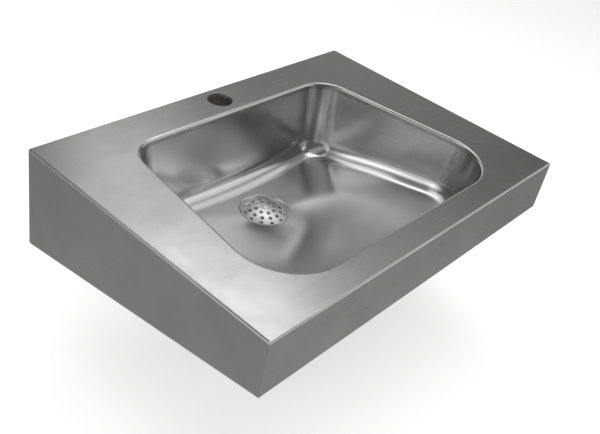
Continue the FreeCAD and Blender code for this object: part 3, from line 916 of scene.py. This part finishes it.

# %% [markdown]
# ## The hidden side
# Under the deck nothing is polished: brackets of plain mill sheet, plated screws, a turned
# brass nut, rubber seals, a pale washer, heavy rubber pads. The sheet itself is sprayed
# with a dark olive coat, whose edge shows in the tap hole. Rubber, nylon and the coat are
# not metals, but their surface varies by the same grain and smears, without the waves, so
# one function serves all.

# %% Plain finishes
mill_steel = make_finish("mill steel", (0.50, 0.50, 0.49), 0.42, even, grain_tone=0.12,
                         bump=0.08, smear=0.12)
zinc = make_finish("zinc plate", (0.60, 0.61, 0.63), 0.3, even, grain_tone=0.1, bump=0.04,
                   smear=0.15, smear_size=40.0)
brass = make_finish("turned brass", (0.72, 0.56, 0.28), 0.28, even, grain_tone=0.06,
                    bump=0.03, smear=0.1, smear_size=30.0)
rubber = make_finish("black rubber", (0.03, 0.03, 0.03), 0.75, even, grain_tone=0.3,
                     bump=0.2, metallic=0.0)
nylon = make_finish("natural nylon", (0.85, 0.85, 0.82), 0.45, even, grain_tone=0.02,
                    bump=0.05, metallic=0.0)
pad_rubber = make_finish("sound pad", (0.16, 0.16, 0.17), 0.85, lumpy, grain_tone=0.35,
                         bump=0.5, metallic=0.0)
undercoat = make_finish("sprayed undercoat", (0.17, 0.155, 0.125), 0.7, lumpy,
                        grain_tone=0.4, bump=0.6, smear=0.1, metallic=0.0)
print("plain finishes", [m.name for m in (mill_steel, zinc, brass, rubber, nylon, pad_rubber,
                                          undercoat)])

# %% [markdown]
# ## Which piece wears what
# A sheet piece has two slots: the outer side takes its steel, and the inner side, made by
# the Solidify modifier, takes the undercoat. The slots are filled by place, because
# emptying the list first would lose which face belongs to which. The CAD nodes whose shape
# is right only get a material.


# %% Putting the finishes on
def wear(piece, material, inner=None):
    """Puts one material on a piece, and another on the inner side of thickened sheet."""
    slots = piece.data.materials
    finishes = [material, inner] if inner else [material]
    for slot, finish in enumerate(finishes):
        if slot < len(slots):
            slots[slot] = finish
        else:
            slots.append(finish)


wear(deck, deck_steel, undercoat)
wear(bowl, bowl_steel, undercoat)
for pad in side_pads:
    wear(pad, pad_rubber, pad_rubber)
node_finish = {
    side_steel: ["left_side_panel", "right_side_panel"],
    waste_steel: ["waste_flange", "strainer_dome", "strainer_screw"],
    mill_steel: ["tap_hole_stiffener", "left_wall_bracket", "right_wall_bracket", "earth_tag"],
    zinc: ["earth_screw", "earth_nut"],
    brass: ["waste_backnut"],
    rubber: ["waste_top_seal", "waste_under_washer"],
    nylon: ["waste_slip_washer"],
    pad_rubber: ["sound_pad_front"],
}
for material, nodes in node_finish.items():
    for node in nodes:
        wear(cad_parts[node], material)
print("CAD nodes with a finish", sum(len(nodes) for nodes in node_finish.values()))

# %% [markdown]
# ## The studio
# Metal has no look of its own: it shows the room round it. So the room is part of the
# finish: a pale floor, grey paper on it, a dark sky with soft patches of light, and lamps.
#
# The sink hangs above the floor, which catches its soft shadow. To make the floor look
# white, more light could be poured on it, but then the steel burns out. Instead it glows a
# little, only for rays that come from the camera, from a mirror or through glass. Seen
# from below it is clear, so that the underside can be looked at.

# %% Floor
floor_reach = 30.0
floor_gap = 120 * mm
floor_level = cad_bounds[0].z - floor_gap
floor_grey = (0.8, 0.8, 0.8, 1)
floor_glow = 0.47


def seen_directly(tree):
    """1 for rays from the camera, from a mirror or through glass, and 0 for the rest."""
    path = add_node(tree, "ShaderNodeLightPath")
    seen = path.outputs["Is Camera Ray"]
    for rays in ("Is Glossy Ray", "Is Transmission Ray"):
        either = add_node(tree, "ShaderNodeMath", operation="MAXIMUM")
        tree.links.new(seen, either.inputs[0])
        tree.links.new(path.outputs[rays], either.inputs[1])
        seen = either.outputs[0]
    return seen


def floor_material():
    """Pale matt floor that glows when it is seen directly, and is clear from below."""
    material = bpy.data.materials.new("pale floor")
    material.use_nodes = True
    tree = material.node_tree
    shader = tree.nodes["Principled BSDF"]
    shader.inputs["Base Color"].default_value = floor_grey
    shader.inputs["Roughness"].default_value = 0.9
    shader.inputs["Emission Color"].default_value = (1, 1, 1, 1)
    glow = add_node(tree, "ShaderNodeMath", operation="MULTIPLY", inputs={1: floor_glow})
    tree.links.new(seen_directly(tree), glow.inputs[0])
    tree.links.new(glow.outputs[0], shader.inputs["Emission Strength"])
    under = add_node(tree, "ShaderNodeNewGeometry")
    clear = add_node(tree, "ShaderNodeBsdfTransparent")
    one_way = add_node(tree, "ShaderNodeMixShader")
    tree.links.new(under.outputs["Backfacing"], one_way.inputs["Fac"])
    tree.links.new(shader.outputs[0], one_way.inputs[1])
    tree.links.new(clear.outputs[0], one_way.inputs[2])
    tree.links.new(one_way.outputs[0], tree.nodes["Material Output"].inputs["Surface"])
    return material


def make_floor():
    """One large square below the sink."""
    bm = bmesh.new()
    bm.faces.new([bm.verts.new((x * floor_reach, y * floor_reach, floor_level))
                  for x, y in ((-1, -1), (1, -1), (1, 1), (-1, 1))])
    ground = new_piece("studio_floor", bm)
    wear(ground, floor_material())
    return ground


floor = make_floor()
print(floor.name, "at z", round(floor_level, 3))

# %% [markdown]
# ## The grey paper
# The apron and the side panel mirror what lies on the floor in front of them, and on the
# real sink that is darker than the white ground of the picture. A round sheet of grey
# paper stands for it. It is not lit: it glows at a set strength, a painted reflection of
# that darker floor. A darker floor would show in the picture, so the paper is seen by
# reflections only. Its glow changes softly from the middle outwards, because the foot of a
# panel mirrors near paper and its top mirrors far paper.

# %% The paper's shades
paper_gap = 2 * mm
paper_middle = Vector((-0.05, -0.25, floor_level + paper_gap))
paper_radius = 1.75
paper_fade = 0.8
# The paper is not lit: its tone is a glow seen only in the metal, a painted reflection of a darker
# floor.
paper_glow = 0.37
paper_shades = [(0.2, 0.95, -0.1), (1.0, 1.2, 0.2)]


def paper_strength(tree, distance):
    """Glow strength of the paper: each shade (start, end, change) is added between two distances.
    """
    total = add_node(tree, "ShaderNodeValue").outputs[0]
    total.default_value = paper_glow
    for start, end, change in paper_shades:
        step = add_node(tree, "ShaderNodeMapRange", interpolation_type="SMOOTHSTEP",
                        inputs={"From Min": start, "From Max": end, "To Max": change})
        tree.links.new(distance, step.inputs["Value"])
        added = add_node(tree, "ShaderNodeMath", operation="ADD")
        tree.links.new(total, added.inputs[0])
        tree.links.new(step.outputs["Result"], added.inputs[1])
        total = added.outputs[0]
    return total


print("paper's tone in the middle and at the edge", paper_glow,
      round(paper_glow + sum(change for start, end, change in paper_shades), 2))


# %% The paper
def paper_material():
    """Glow of the paper's tone that fades to clear at its edge."""
    material = bpy.data.materials.new("grey paper")
    material.use_nodes = True
    tree = material.node_tree
    tree.nodes.clear()
    link = tree.links.new
    place = add_node(tree, "ShaderNodeTexCoord")
    offset = add_node(tree, "ShaderNodeVectorMath", operation="SUBTRACT",
                      inputs={1: paper_middle})
    link(place.outputs["Object"], offset.inputs[0])
    distance = add_node(tree, "ShaderNodeVectorMath", operation="LENGTH")
    link(offset.outputs[0], distance.inputs[0])
    glow = add_node(tree, "ShaderNodeEmission")
    link(paper_strength(tree, distance.outputs["Value"]), glow.inputs["Strength"])
    fade = add_node(tree, "ShaderNodeMapRange", interpolation_type="SMOOTHSTEP",
                    inputs={"From Min": paper_radius * paper_fade, "From Max": paper_radius})
    link(distance.outputs["Value"], fade.inputs["Value"])
    mixed = add_node(tree, "ShaderNodeMixShader")
    link(fade.outputs["Result"], mixed.inputs["Fac"])
    link(glow.outputs[0], mixed.inputs[1])
    link(add_node(tree, "ShaderNodeBsdfTransparent").outputs[0], mixed.inputs[2])
    link(mixed.outputs[0], add_node(tree, "ShaderNodeOutputMaterial").inputs["Surface"])
    return material


def make_paper():
    """Round sheet just above the floor that only the metal sees."""
    bm = bmesh.new()
    bmesh.ops.create_circle(bm, cap_ends=True, segments=64, radius=paper_radius)
    bmesh.ops.translate(bm, verts=bm.verts, vec=paper_middle)
    sheet = new_piece("grey_paper", bm)
    wear(sheet, paper_material())
    for rays in ("camera", "diffuse", "transmission", "shadow"):
        setattr(sheet, "visible_" + rays, False)
    return sheet


paper = make_paper()
print(paper.name, "radius", round(paper.dimensions.x / 2, 2))

# %% [markdown]
# ## The sky
# Bright patches in a polished bowl are reflections of windows and lamps far away. They
# could be a photographed sky, but that would be a picture file. Here the sky is one dark
# tone with round patches of light added, each at a direction and with a soft edge. The
# patches were fitted until the bright and dark bands lay about where the photograph has
# them.


# %% A patch of light
def soft_light_group():
    """Round patch of light: 1 near the direction Towards, fading to 0 at Outer degrees."""
    inputs = {"Towards": (0.0, 0.0, 1.0), "Inner": 10.0, "Outer": 30.0}
    tree, inside, outside = group_tree("soft light", inputs, ["Light"])
    link = tree.links.new
    place = add_node(tree, "ShaderNodeTexCoord")
    along = add_node(tree, "ShaderNodeVectorMath", operation="DOT_PRODUCT")
    link(place.outputs["Generated"], along.inputs[0])
    link(inside.outputs["Towards"], along.inputs[1])
    fade = add_node(tree, "ShaderNodeMapRange", interpolation_type="SMOOTHSTEP")
    link(along.outputs["Value"], fade.inputs["Value"])
    for angle, limit in (("Outer", "From Min"), ("Inner", "From Max")):
        radians = add_node(tree, "ShaderNodeMath", operation="RADIANS")
        cosine = add_node(tree, "ShaderNodeMath", operation="COSINE")
        link(inside.outputs[angle], radians.inputs[0])
        link(radians.outputs[0], cosine.inputs[0])
        link(cosine.outputs[0], fade.inputs[limit])
    link(fade.outputs["Result"], outside.inputs["Light"])
    return tree


soft_light = soft_light_group()
print(soft_light.name, "nodes", len(soft_light.nodes))

# %% The sky
sky_tone = 0.12
# Each patch: azimuth, elevation, inner and outer edge in degrees, and strength.
sky_lights = [
    (0, 50, 0, 20, 0.51), (45, 26, 4, 30, 0.11), (292, 26, 0, 20, 0.98), (30, 2, 0, 20, 0.65),
    (329, 10, 10, 40, 0.58), (169, 18, 4, 30, 0.53), (70, 2, 4, 30, 0.84),
    (147, 32, 4, 20, 0.85), (322, 30, 2, 20, 0.35),
]


def make_sky():
    """World of one tone, with every patch of light added to its strength."""
    world = bpy.data.worlds.new("studio")
    world.use_nodes = True
    bpy.context.scene.world = world
    tree = world.node_tree
    background = tree.nodes["Background"]
    background.inputs["Color"].default_value = (1, 1, 1, 1)
    total = add_node(tree, "ShaderNodeValue").outputs[0]
    total.default_value = sky_tone
    for azimuth, elevation, inner, outer, strength in sky_lights:
        a, e = math.radians(azimuth), math.radians(elevation)
        towards = (math.cos(e) * math.cos(a), math.cos(e) * math.sin(a), math.sin(e))
        patch = add_node(tree, "ShaderNodeGroup", node_tree=soft_light,
                         inputs={"Towards": towards, "Inner": inner, "Outer": outer})
        added = add_node(tree, "ShaderNodeMath", operation="MULTIPLY_ADD", inputs={1: strength})
        tree.links.new(patch.outputs["Light"], added.inputs[0])
        tree.links.new(total, added.inputs[2])
        total = added.outputs[0]
    tree.links.new(total, background.inputs["Strength"])
    return world


sky = make_sky()
print(sky.name, "patches of light", len(sky_lights))

# %% [markdown]
# ## Lamps above the sink
# The deck mirrors what hangs close above it. Patches in the sky are too far away for that:
# they would light the whole deck at once. So soft boxes hang in a layer just above the
# sink, each for a region of the deck. Every box hangs a little higher than the one before,
# because boxes at one height flicker where they overlap.

# %% Soft boxes
box_watts = 4.0
lamp_height = 0.9
lamp_step = 2 * mm
# Each lamp: name, middle, width and length, and brightness.
soft_lamps = [
    ("rear_left", (-0.16, 0.37), (0.66, 0.33), 0.28),
    ("right_strip", (0.67, -0.13), (0.33, 1.32), 0.14),
    ("right_near", (0.34, -0.13), (0.33, 0.66), 0.95),
    ("rear_wide", (0.34, 0.53), (0.99, 0.66), 0.48),
    ("left_far", (-0.98, 0.37), (0.33, 0.33), 0.76),
    ("rear_right_far", (0.67, 1.03), (0.33, 0.33), 0.56),
    ("left_wide", (-0.49, -0.46), (1.32, 0.66), 0.19),
    ("rear_right", (0.34, 0.2), (0.33, 0.66), 0.7),
    ("right_far", (1.0, -0.13), (0.33, 0.66), 0.14),
]


def soft_box(name, size, brightness):
    """Area lamp that faces down. Brightness is what a mirror would show of it."""
    light = bpy.data.lights.new(name, "AREA")
    light.shape = "RECTANGLE"
    light.size, light.size_y = size
    light.energy = brightness * box_watts * size[0] * size[1]
    lamp = bpy.data.objects.new(name, light)
    lamp.visible_camera = False
    bpy.context.scene.collection.objects.link(lamp)
    return lamp


lamps = []
for name, middle, size, brightness in soft_lamps:
    lamp = soft_box(name, size, brightness)
    lamp.location = (*middle, lamp_height + len(lamps) * lamp_step)
    lamps.append(lamp)
print("lamps", len(lamps), "from", lamp_height, "to", round(lamps[-1].location.z, 3))

# %% [markdown]
# ## Fill for the dull surfaces
# The sky and the soft boxes were fitted to reflections, and they leave paint, rubber and
# the floor too dark: a grey card in the sink's place would come out as half of its tone.
# Raising them would burn out the steel. Two large fill lamps make up the difference. They
# are hidden from polished metal, so they change only what is dull.

# %% Fill lamps
sink_middle = Vector((0, -0.2, 0))
fill_boxes = [("fill_above", (0, -0.2, 2.6), 3.0, 0.9),
              ("fill_front", (-2.2, -2.4, 1.6), 2.4, 2.2)]

for name, place, size, brightness in fill_boxes:
    lamp = soft_box(name, (size, size), brightness)
    aim = (sink_middle - Vector(place)).to_track_quat("-Z", "Y").to_matrix().to_4x4()
    lamp.matrix_world = Matrix.Translation(place) @ aim
    lamp.visible_glossy = False
print("fill lamps", len(fill_boxes))

# %% [markdown]
# ## Plain view
# Blender's usual view softens bright tones, which suits a film but moves every colour away
# from the number that was written. The Standard view shows the numbers as they are.

# %% View settings
bpy.context.scene.view_settings.view_transform = "Standard"
print("view", bpy.context.scene.view_settings.view_transform)
